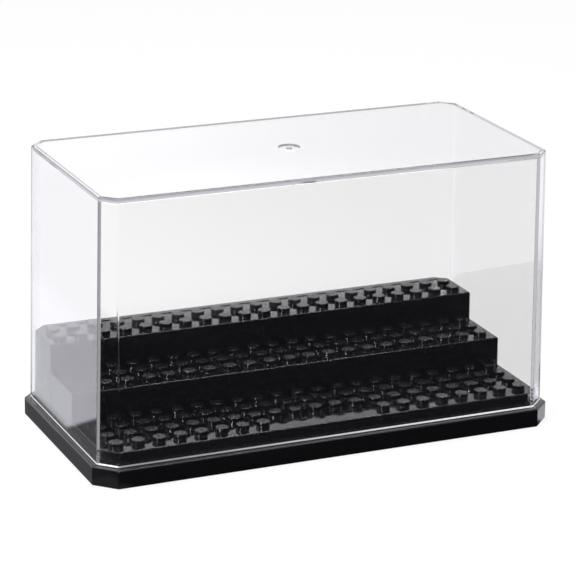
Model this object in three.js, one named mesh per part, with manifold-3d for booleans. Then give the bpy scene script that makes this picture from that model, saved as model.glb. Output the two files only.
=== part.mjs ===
// Tiered display case for minifigures. A low base tray holds three studded steps side by side,
// and a clear five-sided cover drops over them onto the ledge of the tray.
import * as THREE from "three";
import { mergeVertices } from "three/addons/utils/BufferGeometryUtils.js";
import Module from "manifold-3d";

const wasm = await Module();
wasm.setup();

// Stud grid shared by all three steps
const STUD_PITCH = 8;
const STUD_DIAMETER = 4.9;
const STUD_HEIGHT = 1.8;
const STUD_SIDES = 12;
const COLUMNS = 21;
const STEP_ROWS = [4, 3, 2];
const BARE_COLUMNS = 5;

// Flat margins between the outer stud centres and the edges of the block of steps
const END_MARGIN = 5.7;
const FRONT_MARGIN = 6.2;
const RISER_MARGIN = 4.9;
const BACK_MARGIN = 10.2;

// Steps
const STEP_WALL = 2;
const STEP_PLATE = 2;
const FIRST_STEP_RISE = 5.1;
const STEP_RISE = 10.8;
const STEP_CORNER = 4.55;
const STEP_CORNER_EASE = 0.3;
const STEP_EDGE_ROUND = 0.5;
const SQUARE_CORNER_ROUND = 0.25;
const STEP_RIB = 1.6;
const RIB_PITCH_COLUMNS = 4;

// Clearances
const SEAT_GAP = 0.3;
const STEP_GAP = 0.3;
const COVER_GAP = 0.85;

// Base tray
const BASE_HEIGHT = 6.9;
const LEDGE_END = 2;
const LEDGE_FRONT = 2.15;
const TRAY_DEPTH = 2;
const BASE_WALL = 2.2;
const BASE_DECK = 1.9;
const BASE_EDGE_ROUND = 0.7;
const BASE_RIB = 1.8;

// Clear cover
const COVER_HEIGHT = 97.9;
const COVER_WALL = 1.8;
const COVER_ROOF = 2;
const COVER_DRAFT = 1.7;
const COVER_EDGE_ROUND = 1.1;
const COVER_INNER_ROUND = 0.4;
const GATE_DIMPLE = 8.4;
const GATE_DIMPLE_DEPTH = 0.6;
const GATE_NUB = 2.2;
const GATE_NUB_HEIGHT = 0.4;

// Shapes as shares
const STEP_DRAFT_SHARE = Math.tan(Math.PI / 180);
const CORNER_SHARE = 2 - Math.SQRT2;
const BACK_ROUND_SHARE = 0.5;
const ROUND_STEPS = 4;
const GATE_SIDES = 32;
const GATE_FLOOR_SHARE = 0.62;
const GATE_NUB_TOP_SHARE = 0.7;

// Derived sizes
const ALL_ROWS = STEP_ROWS.reduce((sum, rows) => sum + rows, 0);
const BLOCK_LENGTH = (COLUMNS - 1) * STUD_PITCH + 2 * END_MARGIN;
const BLOCK_DEPTH = FRONT_MARGIN + (ALL_ROWS - 1) * STUD_PITCH + BACK_MARGIN;
const BLOCK_FRONT = -BLOCK_DEPTH / 2;
const FIRST_ROW_Y = BLOCK_FRONT + FRONT_MARGIN;
const TRAY_FLOOR = BASE_HEIGHT - TRAY_DEPTH;
const COVER_OUT = COVER_GAP + COVER_WALL;
const BASE_LENGTH = BLOCK_LENGTH + 2 * (COVER_OUT + LEDGE_END);
const BASE_DEPTH = BLOCK_DEPTH + 2 * (COVER_OUT + LEDGE_FRONT);
const COVER_TOP = BASE_HEIGHT + COVER_HEIGHT;
const LEDGE_MEAN = (LEDGE_END + LEDGE_FRONT) / 2;

// Plan outline with cut corners, counter-clockwise from the front left one
function outline(x0, x1, y0, y1, [frontLeft, frontRight, backRight, backLeft]) {
  return [
    [x0 + frontLeft, y0],
    [x1 - frontRight, y0],
    [x1, y0 + frontRight],
    [x1, y1 - backRight],
    [x1 - backRight, y1],
    [x0 + backLeft, y1],
    [x0, y1 - backLeft],
    [x0, y0 + frontLeft],
  ];
}

// Leg of a 45 degree corner after its sides have moved outwards by a distance
function cornerLeg(leg, outwards) {
  return leg + CORNER_SHARE * outwards;
}

// Outline of the block of steps moved outwards, with its four 45 degree corners
function blockOutline(outX, outY) {
  const leg = cornerLeg(STEP_CORNER, (outX + outY) / 2);
  const halfLength = BLOCK_LENGTH / 2 + outX;
  const halfDepth = BLOCK_DEPTH / 2 + outY;
  return outline(-halfLength, halfLength, -halfDepth, halfDepth, [leg, leg, leg, leg]);
}

// Closed geometry through outlines stacked from bottom to top
function stack(rings) {
  const count = rings[0].points.length;
  const positions = [];
  for (const ring of rings) {
    for (const [x, y] of ring.points) {
      positions.push(x, y, ring.z);
    }
  }
  const index = [];
  for (let level = 0; level < rings.length - 1; level++) {
    for (let i = 0; i < count; i++) {
      const a = level * count + i;
      const b = level * count + ((i + 1) % count);
      index.push(a, b, b + count, a, b + count, a + count);
    }
  }
  const flat = rings[0].points.map(([x, y]) => new THREE.Vector2(x, y));
  const caps = THREE.ShapeUtils.triangulateShape(flat, []);
  const top = (rings.length - 1) * count;
  for (const [a, b, c] of caps) {
    index.push(a, c, b);
    index.push(top + a, top + b, top + c);
  }
  const geometry = new THREE.BufferGeometry();
  geometry.setAttribute("position", new THREE.Float32BufferAttribute(positions, 3));
  geometry.setIndex(index);
  return geometry;
}

// three.js geometry to a solid for joining and cutting, and back
function solid(geometry) {
  const bare = geometry.clone();
  bare.deleteAttribute("normal");
  bare.deleteAttribute("uv");
  const merged = mergeVertices(bare);
  return new wasm.Manifold(
    new wasm.Mesh({
      numProp: 3,
      vertProperties: merged.attributes.position.array,
      triVerts: new Uint32Array(merged.index.array),
    }),
  );
}

function geometryOf(body) {
  const mesh = body.getMesh();
  const geometry = new THREE.BufferGeometry();
  geometry.setAttribute("position", new THREE.BufferAttribute(new Float32Array(mesh.vertProperties), 3));
  geometry.setIndex(new THREE.BufferAttribute(new Uint32Array(mesh.triVerts), 1));
  const flat = geometry.toNonIndexed();
  flat.computeVertexNormals();
  return flat;
}

function boxSolid(x0, x1, y0, y1, z0, z1) {
  const box = new THREE.BoxGeometry(x1 - x0, y1 - y0, z1 - z0);
  box.translate((x0 + x1) / 2, (y0 + y1) / 2, (z0 + z1) / 2);
  return solid(box);
}

// Upright turned piece from a profile of radius and height pairs
function turned(profile, sides, x, y) {
  const points = profile.map(([radius, z]) => new THREE.Vector2(radius, z));
  const lathe = new THREE.LatheGeometry(points, sides);
  lathe.rotateX(Math.PI / 2);
  lathe.translate(x, y, 0);
  return solid(lathe);
}

const material = (color, roughness, opacity) =>
  new THREE.MeshStandardMaterial({ color, roughness, metalness: 0, opacity, transparent: opacity < 1 });

const group = new THREE.Group();
group.name = "tiered_display_case";

function addMesh(name, body, look) {
  const mesh = new THREE.Mesh(geometryOf(body), look);
  mesh.name = name;
  group.add(mesh);
  return mesh;
}

// Base tray: octagonal moulding with a ledge for the cover, a sunken floor for the steps
// and an underside that is open and ribbed
function baseSolid() {
  const rings = [{ z: 0, points: blockOutline(COVER_OUT + LEDGE_END, COVER_OUT + LEDGE_FRONT) }];
  for (let i = 0; i <= ROUND_STEPS; i++) {
    const angle = (i / ROUND_STEPS) * (Math.PI / 2);
    const inset = BASE_EDGE_ROUND * (1 - Math.cos(angle));
    rings.push({
      z: BASE_HEIGHT - BASE_EDGE_ROUND * (1 - Math.sin(angle)),
      points: blockOutline(COVER_OUT + LEDGE_END - inset, COVER_OUT + LEDGE_FRONT - inset),
    });
  }
  const tray = [
    { z: TRAY_FLOOR, points: blockOutline(SEAT_GAP, SEAT_GAP) },
    { z: BASE_HEIGHT + TRAY_DEPTH, points: blockOutline(SEAT_GAP, SEAT_GAP) },
  ];
  const inner = [COVER_OUT + LEDGE_END - BASE_WALL, COVER_OUT + LEDGE_FRONT - BASE_WALL];
  const hollowTop = TRAY_FLOOR - BASE_DECK;
  const hollow = [
    { z: -BASE_WALL, points: blockOutline(inner[0], inner[1]) },
    { z: hollowTop, points: blockOutline(inner[0], inner[1]) },
  ];
  let cavity = solid(stack(hollow));
  const ribPitch = RIB_PITCH_COLUMNS * STUD_PITCH;
  const crossRibs = Math.floor(BLOCK_LENGTH / 2 / ribPitch);
  for (let i = -crossRibs; i <= crossRibs; i++) {
    const x = i * ribPitch;
    cavity = cavity.subtract(
      boxSolid(x - BASE_RIB / 2, x + BASE_RIB / 2, -BASE_DEPTH, BASE_DEPTH, -2 * BASE_WALL, BASE_HEIGHT),
    );
  }
  cavity = cavity.subtract(
    boxSolid(-BASE_LENGTH, BASE_LENGTH, -BASE_RIB / 2, BASE_RIB / 2, -2 * BASE_WALL, BASE_HEIGHT),
  );
  return solid(stack(rings)).subtract(solid(stack(tray))).subtract(cavity);
}

// One step: a drafted hollow moulding, open below, ribbed across, with rows of studs on its plate
function stepSolid(level) {
  const rowsBefore = STEP_ROWS.slice(0, level).reduce((sum, rows) => sum + rows, 0);
  const rows = STEP_ROWS[level];
  const isFirst = level === 0;
  const isLast = level === STEP_ROWS.length - 1;
  const top = BASE_HEIGHT + FIRST_STEP_RISE + level * STEP_RISE;
  const firstRow = FIRST_ROW_Y + rowsBefore * STUD_PITCH;
  const front = isFirst ? BLOCK_FRONT : firstRow - RISER_MARGIN;
  const nextFront = firstRow + rows * STUD_PITCH - RISER_MARGIN;
  const back = isLast ? -BLOCK_FRONT : nextFront - STEP_GAP;
  const ringAt = (z, round, inwards) => {
    const draft = STEP_DRAFT_SHARE * (z - TRAY_FLOOR);
    const ends = draft + round + inwards;
    const frontIn = (isFirst ? draft : 0) + round + inwards;
    const backIn = isLast ? ends : BACK_ROUND_SHARE * round + inwards;
    const cut = cornerLeg(STEP_CORNER, -ends) + STEP_CORNER_EASE;
    const square = SQUARE_CORNER_ROUND;
    const fronts = isFirst ? cut : square;
    const backs = isLast ? cut : square;
    const half = BLOCK_LENGTH / 2 - ends;
    return { z, points: outline(-half, half, front + frontIn, back - backIn, [fronts, fronts, backs, backs]) };
  };
  const rings = [ringAt(TRAY_FLOOR, 0, 0)];
  for (let i = 0; i <= ROUND_STEPS; i++) {
    const angle = (i / ROUND_STEPS) * (Math.PI / 2);
    const z = top - STEP_EDGE_ROUND * (1 - Math.sin(angle));
    rings.push(ringAt(z, STEP_EDGE_ROUND * (1 - Math.cos(angle)), 0));
  }
  const roof = top - STEP_PLATE;
  const below = { z: TRAY_FLOOR - STEP_PLATE, points: ringAt(TRAY_FLOOR, 0, STEP_WALL).points };
  let cavity = solid(stack([below, ringAt(roof, 0, STEP_WALL)]));
  const ribPitch = RIB_PITCH_COLUMNS * STUD_PITCH;
  const crossRibs = Math.floor(BLOCK_LENGTH / 2 / ribPitch);
  for (let i = -crossRibs; i <= crossRibs; i++) {
    const x = i * ribPitch;
    cavity = cavity.subtract(
      boxSolid(x - STEP_RIB / 2, x + STEP_RIB / 2, front, back, TRAY_FLOOR - 2 * STEP_PLATE, top),
    );
  }
  const studs = [];
  const bareFrom = (COLUMNS - BARE_COLUMNS) / 2;
  for (let row = 0; row < rows; row++) {
    for (let column = 0; column < COLUMNS; column++) {
      const isBare = isFirst && row === 0 && column >= bareFrom && column < bareFrom + BARE_COLUMNS;
      if (!isBare) {
        const x = (column - (COLUMNS - 1) / 2) * STUD_PITCH;
        const y = firstRow + row * STUD_PITCH;
        const stud = new THREE.CylinderGeometry(
          STUD_DIAMETER / 2,
          STUD_DIAMETER / 2,
          STUD_HEIGHT + STEP_PLATE / 2,
          STUD_SIDES,
        );
        stud.rotateX(Math.PI / 2);
        stud.translate(x, y, top + STUD_HEIGHT - (STUD_HEIGHT + STEP_PLATE / 2) / 2);
        studs.push(solid(stud));
      }
    }
  }
  const shell = solid(stack(rings)).subtract(cavity);
  return shell.add(wasm.Manifold.union(studs));
}

// Clear cover: drafted walls, rounded top edge and a gate dimple in the middle of the roof
function coverSolid() {
  const wallTop = COVER_TOP - COVER_EDGE_ROUND;
  const draftAt = (z) => (COVER_DRAFT * (z - BASE_HEIGHT)) / (wallTop - BASE_HEIGHT);
  const rings = [{ z: BASE_HEIGHT, points: blockOutline(COVER_OUT, COVER_OUT) }];
  for (let i = 0; i <= ROUND_STEPS; i++) {
    const angle = (i / ROUND_STEPS) * (Math.PI / 2);
    const out = COVER_OUT - COVER_DRAFT - COVER_EDGE_ROUND * (1 - Math.cos(angle));
    rings.push({ z: wallTop + COVER_EDGE_ROUND * Math.sin(angle), points: blockOutline(out, out) });
  }
  const roofUnder = COVER_TOP - COVER_ROOF;
  const innerTop = roofUnder - COVER_INNER_ROUND;
  const mouthZ = BASE_HEIGHT - COVER_WALL;
  const mouthOut = COVER_GAP - draftAt(mouthZ);
  const inner = [{ z: mouthZ, points: blockOutline(mouthOut, mouthOut) }];
  for (let i = 0; i <= ROUND_STEPS; i++) {
    const angle = (i / ROUND_STEPS) * (Math.PI / 2);
    const out = COVER_GAP - draftAt(innerTop) - COVER_INNER_ROUND * (1 - Math.cos(angle));
    inner.push({ z: innerTop + COVER_INNER_ROUND * Math.sin(angle), points: blockOutline(out, out) });
  }
  const dimpleFloor = COVER_TOP - GATE_DIMPLE_DEPTH;
  const dimple = turned(
    [
      [0, dimpleFloor],
      [(GATE_FLOOR_SHARE * GATE_DIMPLE) / 2, dimpleFloor],
      [GATE_DIMPLE / 2, COVER_TOP],
      [GATE_DIMPLE / 2, COVER_TOP + GATE_DIMPLE_DEPTH],
      [0, COVER_TOP + GATE_DIMPLE_DEPTH],
    ],
    GATE_SIDES,
    0,
    0,
  );
  const nub = turned(
    [
      [0, dimpleFloor - GATE_NUB_HEIGHT],
      [GATE_NUB / 2, dimpleFloor - GATE_NUB_HEIGHT],
      [GATE_NUB / 2, dimpleFloor],
      [(GATE_NUB_TOP_SHARE * GATE_NUB) / 2, dimpleFloor + GATE_NUB_HEIGHT],
      [0, dimpleFloor + GATE_NUB_HEIGHT],
    ],
    GATE_SIDES,
    0,
    0,
  );
  return solid(stack(rings)).subtract(solid(stack(inner))).subtract(dimple).add(nub);
}

addMesh("base", baseSolid(), material(0x0e0e10, 0.18, 1));
addMesh("lower_step", stepSolid(0), material(0x0e0e10, 0.15, 1));
addMesh("middle_step", stepSolid(1), material(0x0e0e10, 0.15, 1));
addMesh("upper_step", stepSolid(2), material(0x0e0e10, 0.15, 1));
addMesh("cover", coverSolid(), material(0xf4f7f8, 0.05, 0.3));

export default group;
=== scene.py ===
import math

import bmesh
import bpy
from mathutils import Matrix, Vector


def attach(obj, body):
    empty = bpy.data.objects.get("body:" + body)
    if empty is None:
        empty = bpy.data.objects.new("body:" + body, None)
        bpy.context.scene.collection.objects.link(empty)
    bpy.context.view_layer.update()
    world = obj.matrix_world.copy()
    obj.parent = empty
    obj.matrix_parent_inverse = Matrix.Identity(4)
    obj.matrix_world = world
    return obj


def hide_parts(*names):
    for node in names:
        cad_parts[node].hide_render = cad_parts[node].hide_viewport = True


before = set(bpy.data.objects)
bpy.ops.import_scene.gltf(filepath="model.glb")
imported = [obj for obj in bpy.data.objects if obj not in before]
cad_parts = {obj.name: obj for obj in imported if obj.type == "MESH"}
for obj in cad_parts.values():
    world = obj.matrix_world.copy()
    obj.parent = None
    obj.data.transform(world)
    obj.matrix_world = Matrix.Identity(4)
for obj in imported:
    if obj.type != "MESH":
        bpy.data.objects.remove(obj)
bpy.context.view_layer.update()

# Base tray.
# One injection moulding in black polystyrene: a skirt with cut corners, a ledge that the cover
# stands on, and a sunken floor that holds the steps. Its underside is open and ribbed.

# The case's sizes are in millimetres, and its meshes, the floor and the lamps in metres
MM = 0.001
# Half the plan of the block of steps that the tray holds, and the leg of its cut corners
BLOCK_HALF = (85.7, 40.2)
BLOCK_CORNER = 4.55
# How much that leg grows when every side of the plan, the cut too, moves out by 1
CORNER_SHARE = 2 - math.sqrt(2)
# How far the skirt stands out from the block, at the ends and at the front and back
LEDGE_OUT = (4.65, 4.8)
BASE_TOP = 6.9
BASE_ROUND = 0.7
TRAY_FLOOR = 4.9
TRAY_OUT = 0.3
TRAY_LIP_ROUND = 0.15
SKIRT_WALL = 2.2
SKIRT_FOOT_ROUND = 0.15
BASE_DECK = 1.9
BASE_RIB = 1.8
RIB_PITCH = 32
RIBS_EACH_SIDE = 2
ARRIS_ROUND = 0.45
ARRIS_STEPS = 3
ROUND_STEPS = 5
# A round takes up at most this share of an edge
LONGEST_REACH = 0.45
# Edges that turn by more than this are drawn sharp
SHARP_TURN = math.radians(35)
# What moulding and handling leave on the plastic
DULL_PATCH = 25
RUB_WIDTH = 0.6
DUST_SPACING = 6
SKIN_WAVE = 4


def cut_outline(x0, x1, y0, y1, cuts):
    """Plan of a block with cut corners, counter-clockwise from the front left corner."""
    front_left, front_right, back_right, back_left = cuts
    return [
        (x0 + front_left, y0),
        (x1 - front_right, y0),
        (x1, y0 + front_right),
        (x1, y1 - back_right),
        (x1 - back_right, y1),
        (x0 + back_left, y1),
        (x0, y1 - back_left),
        (x0, y0 + front_left),
    ]


def soften(corners, radius):
    """The same plan with each of its upright arrises rounded."""
    points = []
    for i, corner in enumerate(corners):
        here = Vector(corner)
        before = Vector(corners[i - 1]) - here
        after = Vector(corners[(i + 1) % len(corners)]) - here
        turn = math.pi - before.angle(after)
        reach = min(
            radius * math.tan(turn / 2),
            LONGEST_REACH * before.length,
            LONGEST_REACH * after.length,
        )
        start = here + before.normalized() * reach
        end = here + after.normalized() * reach
        swing = reach / math.tan(turn / 2)
        inward = (before.normalized() + after.normalized()).normalized()
        centre = here + inward * math.hypot(reach, swing)
        for k in range(ARRIS_STEPS + 1):
            point = start.lerp(end, k / ARRIS_STEPS) - centre
            points.append(centre + point.normalized() * swing)
    return points


def block_plan(out_x, out_y, arris=ARRIS_ROUND):
    """Plan of the block of steps moved outwards, with its corners kept at 45 degrees."""
    half_x = BLOCK_HALF[0] + out_x
    half_y = BLOCK_HALF[1] + out_y
    leg = BLOCK_CORNER + CORNER_SHARE * (out_x + out_y) / 2
    return soften(cut_outline(-half_x, half_x, -half_y, half_y, [leg] * 4), arris)


def quarter_round(radius, steps):
    """A rounded edge from the side up to the top: how far each of its rings lies in from the
    side, and down from the top."""
    turns = [math.pi / 2 * k / steps for k in range(steps + 1)]
    return [(radius * (1 - math.cos(a)), radius * (1 - math.sin(a))) for a in turns]


def ring(plan, z):
    return [(x, y, z) for x, y in plan]


def loft(bm, rings, start_cap=True, end_cap=True):
    """Skins a pile of rings, each joined to the next, and closes its two ends. The rings run
    counter-clockwise, seen from above, and are piled upwards on an outside."""
    loops = [[bm.verts.new([c * MM for c in point]) for point in loop] for loop in rings]
    count = len(loops[0])
    for low, high in zip(loops, loops[1:]):
        for i in range(count):
            j = (i + 1) % count
            bm.faces.new((low[i], low[j], high[j], high[i]))
    if start_cap:
        bm.faces.new(list(reversed(loops[0])))
    if end_cap:
        bm.faces.new(loops[-1])
    return loops


def slab(bm, x0, x1, y0, y1, z0, z1):
    """A rib: a plain upright wall of plastic."""
    plan = [(x0, y0), (x1, y0), (x1, y1), (x0, y1)]
    loft(bm, [ring(plan, z0), ring(plan, z1)])


def finish_piece(name, bm, materials):
    """The bmesh as an object, shaded smooth over its rounds and sharp at its real edges."""
    bm.normal_update()
    for edge in bm.edges:
        edge.smooth = len(edge.link_faces) == 2 and edge.calc_face_angle(0) < SHARP_TURN
    for face in bm.faces:
        face.smooth = True
    mesh = bpy.data.meshes.new(name)
    bm.to_mesh(mesh)
    bm.free()
    for material in materials:
        mesh.materials.append(material)
    piece = bpy.data.objects.new(name, mesh)
    bpy.context.scene.collection.objects.link(piece)
    shading = piece.modifiers.new("even_shading", "WEIGHTED_NORMAL")
    shading.keep_sharp = True
    shading.weight = 100
    return piece


def linear(hex_colour):
    """An sRGB hex colour as linear RGBA."""
    values = [int(hex_colour[i : i + 2], 16) / 255 for i in (1, 3, 5)]
    return [v / 12.92 if v <= 0.04045 else ((v + 0.055) / 1.055) ** 2.4 for v in values] + [1]


def add_node(tree, kind, inputs=(), **settings):
    """Adds a node with its settings. An input is a value, or the output that it is linked to."""
    made = tree.nodes.new(kind)
    for key, value in settings.items():
        setattr(made, key, value)
    for socket, value in dict(inputs).items():
        if isinstance(value, bpy.types.NodeSocket):
            tree.links.new(value, made.inputs[socket])
        else:
            made.inputs[socket].default_value = value
    return made


def blank_material(name):
    """A material whose nodes are all still to be added."""
    made = bpy.data.materials.new(name)
    made.use_nodes = True
    made.node_tree.nodes.clear()
    return made


def moulded_black_polystyrene(name, colour, least_rough, most_rough):
    """General-purpose polystyrene moulded in a polished tool: deep black, mirror-like, with the
    faint waviness of a moulded skin, hairline rubs and a little settled dust."""
    made = blank_material(name)
    tree = made.node_tree
    place = add_node(tree, "ShaderNodeTexCoord").outputs["Object"]
    # Patches where the plastic filled the tool a little duller
    patches = add_node(
        tree,
        "ShaderNodeTexNoise",
        {"Vector": place, "Scale": 1 / (DULL_PATCH * MM), "Detail": 3},
    )
    # Hairline rubs from handling: noise drawn out along X. Real ones are 0.05 mm wide, and these
    # are drawn coarser so that they show
    stretched = add_node(
        tree,
        "ShaderNodeMapping",
        {"Vector": place, "Scale": (0.03, 1, 1), "Rotation": (0, 0, 0.12)},
    )
    rubs = add_node(
        tree,
        "ShaderNodeTexNoise",
        {"Vector": stretched.outputs[0], "Scale": 1 / (RUB_WIDTH * MM), "Detail": 2},
    )
    rub_lines = add_node(
        tree,
        "ShaderNodeMapRange",
        {"Value": rubs.outputs[0], "From Min": 0.62, "From Max": 0.75, "To Max": 0.5},
    )
    uneven = add_node(
        tree, "ShaderNodeMath", {0: patches.outputs[0], 1: rub_lines.outputs[0]}, operation="ADD"
    )
    roughness = add_node(
        tree,
        "ShaderNodeMapRange",
        {
            "Value": uneven.outputs[0],
            "From Min": 0.3,
            "From Max": 1.2,
            "To Min": least_rough,
            "To Max": most_rough,
        },
    )
    # Dust: a few grey specks, up to 0.6 mm across, where points of a loose lattice lie in the skin
    specks = add_node(
        tree,
        "ShaderNodeTexVoronoi",
        {"Vector": place, "Scale": 1 / (DUST_SPACING * MM), "Randomness": 1},
    )
    dust = add_node(
        tree,
        "ShaderNodeMapRange",
        {
            "Value": specks.outputs["Distance"],
            "From Min": 0.03,
            "From Max": 0.05,
            "To Min": 0.4,
            "To Max": 0,
        },
    )
    # Sockets 6 and 7 are the two colours that are mixed
    tint = add_node(
        tree,
        "ShaderNodeMix",
        {0: dust.outputs[0], 6: linear(colour), 7: linear("#3a3a3e")},
        data_type="RGBA",
    )
    # Skin of the moulding: waves a few thousandths of a millimetre high
    waves = add_node(
        tree,
        "ShaderNodeTexNoise",
        {"Vector": place, "Scale": 1 / (SKIN_WAVE * MM), "Detail": 1},
    )
    skin = add_node(
        tree, "ShaderNodeBump", {"Height": waves.outputs[0], "Strength": 0.25, "Distance": 0.01 * MM}
    )
    plastic = add_node(
        tree,
        "ShaderNodeBsdfPrincipled",
        {
            "Base Color": tint.outputs[2],
            "Roughness": roughness.outputs[0],
            "IOR": 1.59,
            "Normal": skin.outputs[0],
        },
    )
    add_node(tree, "ShaderNodeOutputMaterial", {"Surface": plastic.outputs[0]})
    return made


def base_tray():
    """The tray as one skin, from the underside of its deck down the inside of the skirt, up the
    outside, over the ledge and down to the tray's floor, and its ribs."""
    bm = bmesh.new()
    inner = (LEDGE_OUT[0] - SKIRT_WALL, LEDGE_OUT[1] - SKIRT_WALL)
    deck_under = TRAY_FLOOR - BASE_DECK
    rings = [
        ring(block_plan(*inner), deck_under),
        ring(block_plan(*inner), 0),
        ring(block_plan(LEDGE_OUT[0] - SKIRT_FOOT_ROUND, LEDGE_OUT[1] - SKIRT_FOOT_ROUND), 0),
        ring(block_plan(*LEDGE_OUT), SKIRT_FOOT_ROUND),
    ]
    for inset, drop in quarter_round(BASE_ROUND, ROUND_STEPS):
        plan = block_plan(LEDGE_OUT[0] - inset, LEDGE_OUT[1] - inset)
        rings.append(ring(plan, BASE_TOP - drop))
    lip = TRAY_OUT + TRAY_LIP_ROUND
    rings.append(ring(block_plan(lip, lip), BASE_TOP))
    rings.append(ring(block_plan(TRAY_OUT, TRAY_OUT), BASE_TOP - TRAY_LIP_ROUND))
    rings.append(ring(block_plan(TRAY_OUT, TRAY_OUT), TRAY_FLOOR))
    loft(bm, rings)
    reach_x = BLOCK_HALF[0] + inner[0]
    reach_y = BLOCK_HALF[1] + inner[1]
    for k in range(-RIBS_EACH_SIDE, RIBS_EACH_SIDE + 1):
        x = k * RIB_PITCH
        slab(bm, x - BASE_RIB / 2, x + BASE_RIB / 2, -reach_y, reach_y, 0, deck_under)
    slab(bm, -reach_x, reach_x, -BASE_RIB / 2, BASE_RIB / 2, 0, deck_under)
    return bm


base_plastic = moulded_black_polystyrene("moulded_black_polystyrene_base", "#0b0b0d", 0.03, 0.12)
base = finish_piece("base_tray", base_tray(), [base_plastic])
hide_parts("base")
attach(base, "base")

# The three steps.
# Each is a hollow moulding in black polystyrene that stands loose in the tray, with its rows of
# studs moulded in one with its top. The front one has a bare strip in its first row, and a fine
# groove runs along the back of the highest one.
STUD_PITCH = 8
STUD_RADIUS = 2.45
STUD_HEIGHT = 1.8
STUD_EDGE = 0.22
STUD_EDGE_STEPS = 4
STUD_FOOT = 0.12
STUD_FOOT_STEPS = 3
STUD_SIDES = 40
COLUMNS = 21
FIRST_ROW_Y = -34
STEP_ROWS = {"lower_step": 4, "middle_step": 3, "upper_step": 2}
ROWS = sum(STEP_ROWS.values())
# Columns without a stud in the first row of the lower step
BARE_COLUMNS = range(8, 13)
LOWEST_TOP = 12.0
STEP_RISE = 10.8
STEP_GAP = 0.3
# From a step's last row of studs to its back
ROW_TO_BACK = 2.8
STEP_WALL = 2
STEP_PLATE = 2
STEP_EDGE = 0.5
STEP_DRAFT = math.tan(math.radians(1))
STEP_RIB = 1.6
# Corners where steps meet are square but for a touch of a cut. The block's own corners are cut
# a little more than the tray's, for ease
SQUARE_CORNER = 0.25
CORNER_EASE = 0.3
GROOVE_BACK = 3.3
GROOVE_WIDTH = 1.4
GROOVE_DEPTH = 0.6
GROOVE_HALF_LENGTH = 81.5


def turned(profile, sides, x=0, y=0):
    """The rings of a round shape about an upright axis, from half its section."""
    turns = [2 * math.pi * i / sides for i in range(sides)]
    return [[(x + r * math.cos(a), y + r * math.sin(a), z) for a in turns] for r, z in profile]


def stud(bm, x, y, top):
    """One stud with a small fillet at its foot, a softened upper edge and a flat end."""
    # The fillet is a quarter round too, laid the other way
    profile = []
    for rise, out in quarter_round(STUD_FOOT, STUD_FOOT_STEPS):
        profile.append((STUD_RADIUS + out, top + rise))
    for inset, drop in quarter_round(STUD_EDGE, STUD_EDGE_STEPS):
        profile.append((STUD_RADIUS - inset, top + STUD_HEIGHT - drop))
    loops = loft(bm, turned(profile, STUD_SIDES, x, y), start_cap=False, end_cap=False)
    # The end has the second of the step's materials
    bm.faces.new(loops[-1]).material_index = 1


def close_between(bm, outer, inner):
    """Fills a flat, upward face between two loops of vertices, one inside the other."""
    edges = []
    for loop in (outer, inner):
        for i, vert in enumerate(loop):
            edges.append(bm.edges.get((vert, loop[(i + 1) % len(loop)])))
    filled = bmesh.ops.triangle_fill(bm, edges=edges, use_beauty=True, use_dissolve=False)
    for face in filled["geom"]:
        if isinstance(face, bmesh.types.BMFace):
            face.normal_update()
            if face.normal.z < 0:
                face.normal_flip()


def step(front, back, top, rows_before, rows):
    """One step: a drafted, hollow block with a rounded upper edge, its ribs and its studs."""
    bm = bmesh.new()
    is_first = rows_before == 0
    is_last = rows_before + rows == ROWS

    def plan(z, round_in, wall_in):
        draft = STEP_DRAFT * (z - TRAY_FLOOR)
        ends = draft + round_in + wall_in
        half = BLOCK_HALF[0] - ends
        cut = BLOCK_CORNER + CORNER_EASE - CORNER_SHARE * ends
        fronts = cut if is_first else SQUARE_CORNER
        backs = cut if is_last else SQUARE_CORNER
        y0 = front + (draft if is_first else 0) + round_in + wall_in
        y1 = back - (ends if is_last else round_in / 2 + wall_in)
        cuts = [fronts, fronts, backs, backs]
        return ring(soften(cut_outline(-half, half, y0, y1, cuts), ARRIS_ROUND), z)

    roof = top - STEP_PLATE
    rings = [
        plan(roof, 0, STEP_WALL),
        plan(TRAY_FLOOR, 0, STEP_WALL),
        plan(TRAY_FLOOR, 0, 0),
    ]
    for inset, drop in quarter_round(STEP_EDGE, ROUND_STEPS):
        rings.append(plan(top - drop, inset, 0))
    loops = loft(bm, rings, end_cap=not is_last)
    if is_last:
        y1 = back - GROOVE_BACK
        y0 = y1 - GROOVE_WIDTH
        half = GROOVE_HALF_LENGTH
        mouth = [(-half, y0), (half, y0), (half, y1), (-half, y1)]
        groove = loft(bm, [ring(mouth, top), ring(mouth, top - GROOVE_DEPTH)], start_cap=False)
        close_between(bm, loops[-1], groove[0])
    for k in range(-RIBS_EACH_SIDE, RIBS_EACH_SIDE + 1):
        x0 = k * RIB_PITCH - STEP_RIB / 2
        slab(bm, x0, x0 + STEP_RIB, front + STEP_WALL, back - STEP_WALL, TRAY_FLOOR, roof)
    for row in range(rows):
        for column in range(COLUMNS):
            is_bare = is_first and row == 0 and column in BARE_COLUMNS
            if not is_bare:
                x = (column - (COLUMNS - 1) / 2) * STUD_PITCH
                stud(bm, x, FIRST_ROW_Y + (rows_before + row) * STUD_PITCH, top)
    return bm


step_plastic = moulded_black_polystyrene("moulded_black_polystyrene_step", "#09090b", 0.02, 0.09)
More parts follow.
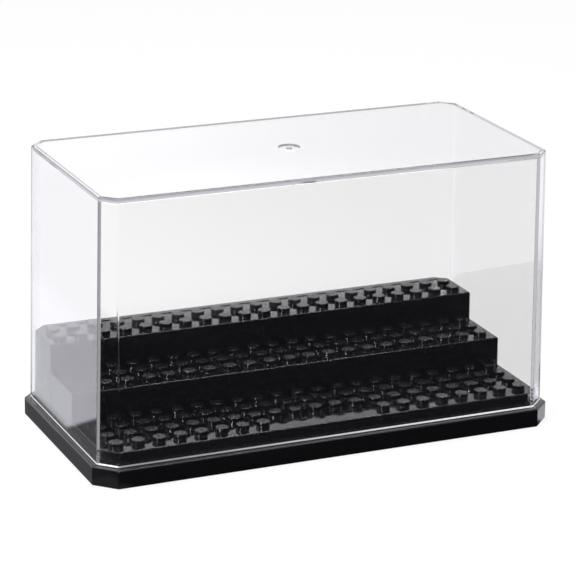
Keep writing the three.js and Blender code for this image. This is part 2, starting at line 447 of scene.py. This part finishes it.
# The ends of the studs are a drill's work in the tool, less polished than its flats
stud_plastic = moulded_black_polystyrene("moulded_black_polystyrene_studs", "#101013", 0.2, 0.3)
rows_before = 0
step_front = -BLOCK_HALF[1]
step_top = LOWEST_TOP
for name, rows in STEP_ROWS.items():
    last_row_y = FIRST_ROW_Y + (rows_before + rows - 1) * STUD_PITCH
    step_back = last_row_y + ROW_TO_BACK if rows_before + rows < ROWS else BLOCK_HALF[1]
    piece = finish_piece(
        name + "_moulding",
        step(step_front, step_back, step_top, rows_before, rows),
        [step_plastic, stud_plastic],
    )
    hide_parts(name)
    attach(piece, name)
    rows_before += rows
    step_front = step_back + STEP_GAP
    step_top += STEP_RISE

# Cover.
# One clear polystyrene moulding, five-sided and drafted, that stands on the ledge of the tray by
# its rim. Its roof was filled through a gate whose dimple and cut nub stay in the middle.
COVER_BOTTOM = BASE_TOP
COVER_TOP = 104.8
COVER_GAP = 0.85
COVER_WALL = 1.8
COVER_ROOF = 2.0
COVER_DRAFT = 1.7
COVER_EDGE = 1.1
COVER_EDGE_STEPS = 6
COVER_INNER_EDGE = 0.4
COVER_ARRIS = 0.7
COVER_INNER_ARRIS = 0.35
RIM_EDGE = 0.2
RIM_ARRIS = 0.6
RIM_INNER_ARRIS = 0.4
# The matt band above the cover's foot, from and to
RIM_BAND = (0.3, 0.95)
DIMPLE_RADIUS = 4.2
DIMPLE_DEPTH = 0.6
DIMPLE_LIP = 0.18
DIMPLE_FLOOR_SHARE = 0.88
DIMPLE_TOE = (0.1, 0.08)
NUB_RADIUS = 1.1
NUB_HEIGHT = 0.4
NUB_TOE = 0.06
NUB_SHOULDER_SHARE = 0.76
NUB_TOP_SHARE = 0.66
GATE_EASE = 0.05
GATE_SIDES = 64
FLOW_WAVE = 30
HAZE_CLOUD = 17
RIM_GRAIN = 0.5
# Light that has met more faces than this is caught in a wall
CAUGHT_AFTER = 5.5
# Where the rim's glow fades in along the front, ends at the left cut corner, and drops on the
# left wall, from and to across the case
RIM_FRONT = (-60, 60)
RIM_LEFT_CORNER = (-82.8, -81.8)
RIM_LEFT_WALL = (-88.1, -87.5)


def gate_profile():
    """Half the section of the gate: the dimple's lip and floor, and the nub in its middle."""
    floor_z = COVER_TOP - DIMPLE_DEPTH
    floor_radius = DIMPLE_RADIUS * DIMPLE_FLOOR_SHARE
    nub_top = floor_z + NUB_HEIGHT
    return [
        (DIMPLE_RADIUS, COVER_TOP),
        (DIMPLE_RADIUS - DIMPLE_LIP, COVER_TOP - GATE_EASE),
        (floor_radius + GATE_EASE, floor_z + DIMPLE_TOE[1]),
        (floor_radius - DIMPLE_TOE[0], floor_z),
        (NUB_RADIUS + NUB_TOE, floor_z),
        (NUB_RADIUS, floor_z + GATE_EASE),
        (NUB_RADIUS * NUB_SHOULDER_SHARE, nub_top - GATE_EASE),
        (NUB_RADIUS * NUB_TOP_SHARE, nub_top),
    ]


def cover_shell():
    """The cover as one skin, from the inside of its roof down to the rim, up the outside and
    over the roof to the gate."""
    bm = bmesh.new()
    wall_top = COVER_TOP - COVER_EDGE
    slope = COVER_DRAFT / (wall_top - COVER_BOTTOM)

    def plan(out, z, arris):
        out -= slope * (z - COVER_BOTTOM)
        return ring(block_plan(out, out, arris), z)

    outside = COVER_GAP + COVER_WALL
    inner_top = COVER_TOP - COVER_ROOF - COVER_INNER_EDGE
    inner_top_out = COVER_GAP - slope * (inner_top - COVER_BOTTOM)
    rings = []
    for inset, drop in reversed(quarter_round(COVER_INNER_EDGE, ROUND_STEPS)):
        out = inner_top_out - inset
        z = COVER_TOP - COVER_ROOF - drop
        rings.append(ring(block_plan(out, out, COVER_INNER_ARRIS), z))
    rings.append(plan(COVER_GAP, COVER_BOTTOM + RIM_EDGE, COVER_INNER_ARRIS))
    rings.append(plan(COVER_GAP + RIM_EDGE, COVER_BOTTOM, RIM_INNER_ARRIS))
    rings.append(plan(outside - RIM_EDGE, COVER_BOTTOM, RIM_ARRIS))
    rings.append(plan(outside, COVER_BOTTOM + RIM_EDGE, COVER_ARRIS))
    band_start = len(rings)
    for z in RIM_BAND:
        rings.append(plan(outside, COVER_BOTTOM + z, COVER_ARRIS))
    for inset, drop in quarter_round(COVER_EDGE, COVER_EDGE_STEPS):
        out = outside - COVER_DRAFT - inset
        rings.append(ring(block_plan(out, out, COVER_ARRIS), COVER_TOP - drop))
    loops = loft(bm, rings, end_cap=False)
    band = set(loops[band_start] + loops[band_start + 1])
    for face in bm.faces:
        if len(face.verts) == 4 and all(vert in band for vert in face.verts):
            face.material_index = 1
    gate = loft(bm, turned(gate_profile(), GATE_SIDES), start_cap=False)
    close_between(bm, loops[-1], gate[0])
    return bm


def moulded_clear_polystyrene():
    """Crystal polystyrene from a polished tool: water-clear and mirror-like, with very shallow flow
    waves and a faint haze from handling. The breath of lavender in its edges is a painted glow that
    stands for light caught in its walls."""
    made = blank_material("moulded_clear_polystyrene")
    tree = made.node_tree
    place = add_node(tree, "ShaderNodeTexCoord").outputs["Object"]
    waves = add_node(
        tree,
        "ShaderNodeTexNoise",
        {"Vector": place, "Scale": 1 / (FLOW_WAVE * MM), "Detail": 1},
    )
    skin = add_node(
        tree, "ShaderNodeBump", {"Height": waves.outputs[0], "Strength": 0.2, "Distance": 0.02 * MM}
    )
    haze = add_node(
        tree,
        "ShaderNodeTexNoise",
        {"Vector": place, "Scale": 1 / (HAZE_CLOUD * MM), "Detail": 4},
    )
    roughness = add_node(
        tree,
        "ShaderNodeMapRange",
        {"Value": haze.outputs[0], "From Min": 0.45, "From Max": 0.75, "To Min": 0, "To Max": 0.02},
    )
    plastic = add_node(
        tree,
        "ShaderNodeBsdfPrincipled",
        {
            "Base Color": linear("#ffffff"),
            "Roughness": roughness.outputs[0],
            "IOR": 1.59,
            "Transmission Weight": 1,
            "Normal": skin.outputs[0],
        },
    )
    # Light caught in a wall isn't traced further. It is drawn as a pale glow, brighter at a slant
    path = add_node(tree, "ShaderNodeLightPath")
    caught = add_node(
        tree,
        "ShaderNodeMath",
        {0: path.outputs["Ray Depth"], 1: CAUGHT_AFTER},
        operation="GREATER_THAN",
    )
    slant = add_node(tree, "ShaderNodeLayerWeight", {"Blend": 0.5, "Normal": skin.outputs[0]})
    glow = add_node(
        tree,
        "ShaderNodeMapRange",
        {
            "Value": slant.outputs["Facing"],
            "From Min": 0.3,
            "From Max": 0.8,
            "To Min": 0.15,
            "To Max": 0.8,
        },
    )
    guided = add_node(
        tree, "ShaderNodeEmission", {"Color": linear("#e4e3ea"), "Strength": glow.outputs[0]}
    )
    walls = add_node(
        tree,
        "ShaderNodeMixShader",
        {0: caught.outputs[0], 1: plastic.outputs[0], 2: guided.outputs[0]},
    )
    # Lamps reach the steps and the floor through the thin walls
    passed = add_node(tree, "ShaderNodeBsdfTransparent", {"Color": linear("#f9f9fb")})
    mixed = add_node(
        tree,
        "ShaderNodeMixShader",
        {0: path.outputs["Is Shadow Ray"], 1: walls.outputs[0], 2: passed.outputs[0]},
    )
    add_node(tree, "ShaderNodeOutputMaterial", {"Surface": mixed.outputs[0]})
    return made


def matt_rim_polystyrene():
    """A narrow band just above the rim's end, left matt where the halves of the tool part. The
    light that the walls guide down comes out there. It isn't traced, but drawn as a glow."""
    made = blank_material("matt_clear_polystyrene_rim")
    tree = made.node_tree
    place = add_node(tree, "ShaderNodeTexCoord").outputs["Object"]
    # Fine tool grain, drawn coarser than the real 0.05 mm so that it shows
    grain = add_node(
        tree,
        "ShaderNodeTexNoise",
        {"Vector": place, "Scale": 1 / (RIM_GRAIN * MM), "Detail": 2},
    )
    roughness = add_node(
        tree,
        "ShaderNodeMapRange",
        {"Value": grain.outputs[0], "From Min": 0.3, "From Max": 0.7, "To Min": 0.4, "To Max": 0.6},
    )
    skin = add_node(
        tree, "ShaderNodeBump", {"Height": grain.outputs[0], "Strength": 0.4, "Distance": 0.05 * MM}
    )
    # The photograph has it stronger towards the right of the front, and at the left corners
    across = add_node(tree, "ShaderNodeSeparateXYZ", {"Vector": place}).outputs["X"]
    along_front = add_node(
        tree,
        "ShaderNodeMapRange",
        {
            "Value": across,
            "From Min": RIM_FRONT[0] * MM,
            "From Max": RIM_FRONT[1] * MM,
            "To Min": 0.02,
            "To Max": 0.65,
        },
    )
    at_left = add_node(
        tree,
        "ShaderNodeMapRange",
        {
            "Value": across,
            "From Min": RIM_LEFT_CORNER[0] * MM,
            "From Max": RIM_LEFT_CORNER[1] * MM,
            "To Min": 0.8,
            "To Max": 0,
        },
    )
    on_wall = add_node(
        tree,
        "ShaderNodeMapRange",
        {
            "Value": across,
            "From Min": RIM_LEFT_WALL[0] * MM,
            "From Max": RIM_LEFT_WALL[1] * MM,
            "To Min": 0.4,
            "To Max": 0,
        },
    )
    left_end = add_node(
        tree, "ShaderNodeMath", {0: at_left.outputs[0], 1: on_wall.outputs[0]}, operation="SUBTRACT"
    )
    guided = add_node(
        tree,
        "ShaderNodeMath",
        {0: along_front.outputs[0], 1: left_end.outputs[0]},
        operation="MAXIMUM",
    )
    # It comes out at the outside only
    inside = add_node(tree, "ShaderNodeNewGeometry").outputs["Backfacing"]
    outside = add_node(tree, "ShaderNodeMath", {0: 1, 1: inside}, operation="SUBTRACT")
    glow = add_node(
        tree, "ShaderNodeMath", {0: guided.outputs[0], 1: outside.outputs[0]}, operation="MULTIPLY"
    )
    plastic = add_node(
        tree,
        "ShaderNodeBsdfPrincipled",
        {
            "Base Color": linear("#c8c8d0"),
            "Roughness": roughness.outputs[0],
            "IOR": 1.59,
            "Transmission Weight": 0.35,
            "Emission Color": linear("#f4f4f8"),
            "Emission Strength": glow.outputs[0],
            "Normal": skin.outputs[0],
        },
    )
    add_node(tree, "ShaderNodeOutputMaterial", {"Surface": plastic.outputs[0]})
    return made


cover = finish_piece(
    "clear_cover", cover_shell(), [moulded_clear_polystyrene(), matt_rim_polystyrene()]
)
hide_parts("cover")
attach(cover, "cover")

# Camera.
# A long lens a metre off, above the case and to the left of its front, as the photograph was
# taken. The offset is where the case's origin lies from the lens: right, up and away.
AZIMUTH = math.radians(-23.7458)
ELEVATION = math.radians(18.3521)
ROLL = math.radians(0.8191)
OFFSET = (-1.0319, -47.9913, 1020.0)
FOCAL_PIXELS = 2709.786
IMAGE_PIXELS = 576
SENSOR_WIDTH = 36
FARTHEST_SEEN = 100

back_way = Vector(
    (
        math.sin(AZIMUTH) * math.cos(ELEVATION),
        -math.cos(AZIMUTH) * math.cos(ELEVATION),
        math.sin(ELEVATION),
    )
)
level_right = (-back_way).cross(Vector((0, 0, 1))).normalized()
level_up = level_right.cross(-back_way)
right_way = level_right * math.cos(ROLL) + level_up * math.sin(ROLL)
up_way = level_up * math.cos(ROLL) - level_right * math.sin(ROLL)
eye = (right_way * -OFFSET[0] + up_way * -OFFSET[1] + back_way * OFFSET[2]) * MM

camera_data = bpy.data.cameras.new("camera")
camera_data.sensor_fit = "HORIZONTAL"
camera_data.sensor_width = SENSOR_WIDTH
camera_data.lens = SENSOR_WIDTH * FOCAL_PIXELS / IMAGE_PIXELS
camera_data.clip_end = FARTHEST_SEEN
camera = bpy.data.objects.new("camera", camera_data)
camera.matrix_world = Matrix((right_way, up_way, back_way)).transposed().to_4x4()
camera.location = eye
bpy.context.scene.collection.objects.link(camera)
bpy.context.scene.camera = camera

# Floor.
# A plain white paper sweep. The camera sees it white with the object's soft shadow. What gloss
# mirrors of it is bright at the back and the left, and falls off towards the camera.
FLOOR_HALF = 6.0
FLOOR_DROP = 0.0002
# The most and the least that gloss mirrors of it
GLARE = 1.14
FLOOR_LEAST = 0.03
# How much the border of the dark part at the left slants
FLOOR_SLANT = 0.45


def soft_patch(tree, edges):
    """A patch of light with soft edges. Each edge goes from one strength to another over a span
    of a coordinate, and the patch is as bright as their product."""
    strength = None
    for coordinate, (start, end), (before, after) in edges:
        edge = add_node(
            tree,
            "ShaderNodeMapRange",
            {
                "Value": coordinate,
                "From Min": start,
                "From Max": end,
                "To Min": before,
                "To Max": after,
            },
            interpolation_type="SMOOTHSTEP",
        )
        if strength is None:
            strength = edge.outputs[0]
        else:
            both = {0: strength, 1: edge.outputs[0]}
            strength = add_node(tree, "ShaderNodeMath", both, operation="MULTIPLY").outputs[0]
    return strength


def show_by_ray(tree, plain, seen, mirrored):
    """Three shaders in one: the plain one that lights other things, the one that is seen straight
    or through the cover, and the one that gloss mirrors, also from inside the cover."""
    path = add_node(tree, "ShaderNodeLightPath")
    is_through = path.outputs["Is Transmission Ray"]
    in_view = add_node(
        tree,
        "ShaderNodeMath",
        {0: path.outputs["Is Camera Ray"], 1: is_through},
        operation="MAXIMUM",
    )
    is_mirrored = add_node(
        tree, "ShaderNodeMath", {0: path.outputs["Glossy Depth"], 1: 0.5}, operation="GREATER_THAN"
    )
    goes_on = add_node(
        tree,
        "ShaderNodeMath",
        {0: path.outputs["Is Glossy Ray"], 1: is_through},
        operation="MAXIMUM",
    )
    in_gloss = add_node(
        tree,
        "ShaderNodeMath",
        {0: is_mirrored.outputs[0], 1: goes_on.outputs[0]},
        operation="MULTIPLY",
    )
    direct = add_node(
        tree,
        "ShaderNodeMixShader",
        {0: in_view.outputs[0], 1: plain.outputs[0], 2: seen.outputs[0]},
    )
    return add_node(
        tree,
        "ShaderNodeMixShader",
        {0: in_gloss.outputs[0], 1: direct.outputs[0], 2: mirrored.outputs[0]},
    )


def white_paper_sweep():
    """White paper, and on it the pools of light that only gloss mirrors, set by the photograph
    and a little cool. Their edges are in metres, and where pools meet the brightest counts."""
    made = blank_material("white_paper_sweep")
    tree = made.node_tree
    place = add_node(tree, "ShaderNodeTexCoord").outputs["Object"]
    axes = add_node(tree, "ShaderNodeSeparateXYZ", {"Vector": place})
    across, along = axes.outputs["X"], axes.outputs["Y"]
    back = soft_patch(tree, [(along, (0.02, 0.1), (0, 1))])
    # At the right only the strip beside the case is bright
    right = soft_patch(
        tree,
        [
            (across, (0.084, 0.09), (0, GLARE)),
            (across, (0.108, 0.13), (1, 0.3)),
            (along, (-0.043, -0.039), (0, 1)),
        ],
    )
    # At the left the case shades the floor at its foot. The floor beside its front half is dark
    # too, up to a slanting border
    left_side = [(across, (-0.08, -0.075), (1, 0)), (along, (-0.053, -0.045), (0, 1))]
    shade_end = (-0.0975, -0.0955)
    slanted = add_node(
        tree, "ShaderNodeMath", {0: across, 1: FLOOR_SLANT, 2: along}, operation="MULTIPLY_ADD"
    )
    left_far = soft_patch(
        tree,
        [
            (across, shade_end, (1, 0)),
            (slanted.outputs[0], (-0.0265, -0.0215), (0.14, GLARE)),
            (across, (-0.16, -0.135), (0.8, 1)),
            *left_side,
        ],
    )
    left_foot = soft_patch(tree, [(across, shade_end, (0, 0.25)), *left_side])
    left = add_node(tree, "ShaderNodeMath", {0: left_far, 1: left_foot}, operation="ADD")
    # In front only what lies far off at the left is bright
    front_far = soft_patch(
        tree, [(along, (-0.26, -0.21), (1, 0)), (across, (-0.05, 0.2), (1, 0))]
    )
    front_left = soft_patch(
        tree, [(across, (-0.258, -0.242), (1, 0)), (along, (-0.112, -0.105), (1, 0))]
    )
    pools = FLOOR_LEAST
    for pool in (back, right, left.outputs[0], front_far, front_left):
        brightest = add_node(tree, "ShaderNodeMath", {0: pool, 1: pools}, operation="MAXIMUM")
        pools = brightest.outputs[0]
    lit = add_node(tree, "ShaderNodeBsdfDiffuse", {"Color": linear("#e6e6e6")})
    shadow = add_node(tree, "ShaderNodeBsdfDiffuse", {"Color": linear("#767676")})
    paper = add_node(tree, "ShaderNodeEmission", {"Strength": 0.86})
    seen = add_node(tree, "ShaderNodeAddShader", {0: shadow.outputs[0], 1: paper.outputs[0]})
    mirrored = add_node(
        tree, "ShaderNodeEmission", {"Color": linear("#f6f6ff"), "Strength": pools}
    )
    whole = show_by_ray(tree, lit, seen, mirrored)
    add_node(tree, "ShaderNodeOutputMaterial", {"Surface": whole.outputs[0]})
    return made


floor_mesh = bpy.data.meshes.new("floor")
floor_mesh.from_pydata(
    [(x * FLOOR_HALF, y * FLOOR_HALF, 0) for x, y in ((-1, -1), (1, -1), (1, 1), (-1, 1))],
    [],
    [(0, 1, 2, 3)],
)
floor_mesh.materials.append(white_paper_sweep())
floor = bpy.data.objects.new("floor", floor_mesh)
floor.location.z = -FLOOR_DROP
bpy.context.scene.collection.objects.link(floor)

# Studio.
# A white backdrop, a soft box overhead with a dark gap between the two, a smaller soft box at the
# left, and a dark room on the camera's side.


def light_the_studio(tree):
    """The room: plain white to the camera, and as the photograph has it where gloss mirrors it.
    Heights are sines of the angle above the floor."""
    way = add_node(tree, "ShaderNodeTexCoord").outputs["Generated"]
    axes = add_node(tree, "ShaderNodeSeparateXYZ", {"Vector": way})
    across, away, up = axes.outputs["X"], axes.outputs["Y"], axes.outputs["Z"]
    # Some 40 degrees up the walls end in the dark gap, and they are a little dimmer to the right
    walls = [(up, (0.6, 0.68), (1, 0.05)), (across, (0.3, 0.45), (1, 0.75))]
    backdrop = soft_patch(tree, [*walls, (away, (-0.3, 0.1), (0, GLARE))])
    # The camera's side is dark up to 25 degrees
    camera_side = soft_patch(tree, [*walls, (up, (0.42, 0.52), (0.03, 0.9))])
    room = soft_patch(tree, [(up, (0.8, 0.84), (0, 1))])
    for wall in (backdrop, camera_side):
        brightest = add_node(tree, "ShaderNodeMath", {0: wall, 1: room}, operation="MAXIMUM")
        room = brightest.outputs[0]
    # A brighter strip of the backdrop at the right, 16 to 20 degrees up
    strip = soft_patch(
        tree,
        [
            (up, (0.266, 0.29), (0, 0.45)),
            (up, (0.342, 0.354), (1, 0)),
            (away, (0.1, 0.3), (0, 1)),
            (across, (0.31, 0.38), (0, 1)),
        ],
    )
    glow = add_node(tree, "ShaderNodeMath", {0: room, 1: strip}, operation="ADD")
    white = linear("#ffffff")
    plain = add_node(tree, "ShaderNodeBackground", {"Color": white, "Strength": 0.32})
    seen = add_node(tree, "ShaderNodeBackground", {"Color": white, "Strength": 1})
    mirrored = add_node(
        tree, "ShaderNodeBackground", {"Color": linear("#fcfcff"), "Strength": glow.outputs[0]}
    )
    whole = show_by_ray(tree, plain, seen, mirrored)
    add_node(tree, "ShaderNodeOutputWorld", {"Surface": whole.outputs[0]})


def soft_box(name, place, aim, width, height, radiance):
    """A flat lamp that the camera doesn't see, of an even radiance where 1 is white."""
    data = bpy.data.lights.new(name, "AREA")
    data.shape = "RECTANGLE"
    data.size = width
    data.size_y = height
    data.energy = radiance * math.pi * width * height
    lamp = bpy.data.objects.new(name, data)
    lamp.location = place
    lamp.rotation_euler = (Vector(aim) - Vector(place)).to_track_quat("-Z", "Y").to_euler()
    lamp.visible_camera = False
    bpy.context.scene.collection.objects.link(lamp)


world = bpy.data.worlds.new("studio")
bpy.context.scene.world = world
world.use_nodes = True
world.node_tree.nodes.clear()
light_the_studio(world.node_tree)
soft_box(
    "overhead_box", place=(0, 0.2, 1.1), aim=(0, 0, 0), width=1.1, height=0.6, radiance=3
)
soft_box(
    "left_box", place=(-1.14, -0.813, 0.56), aim=(0, 0, 0.02), width=0.4, height=0.8, radiance=14
)

bpy.context.scene.view_settings.view_transform = "Standard"
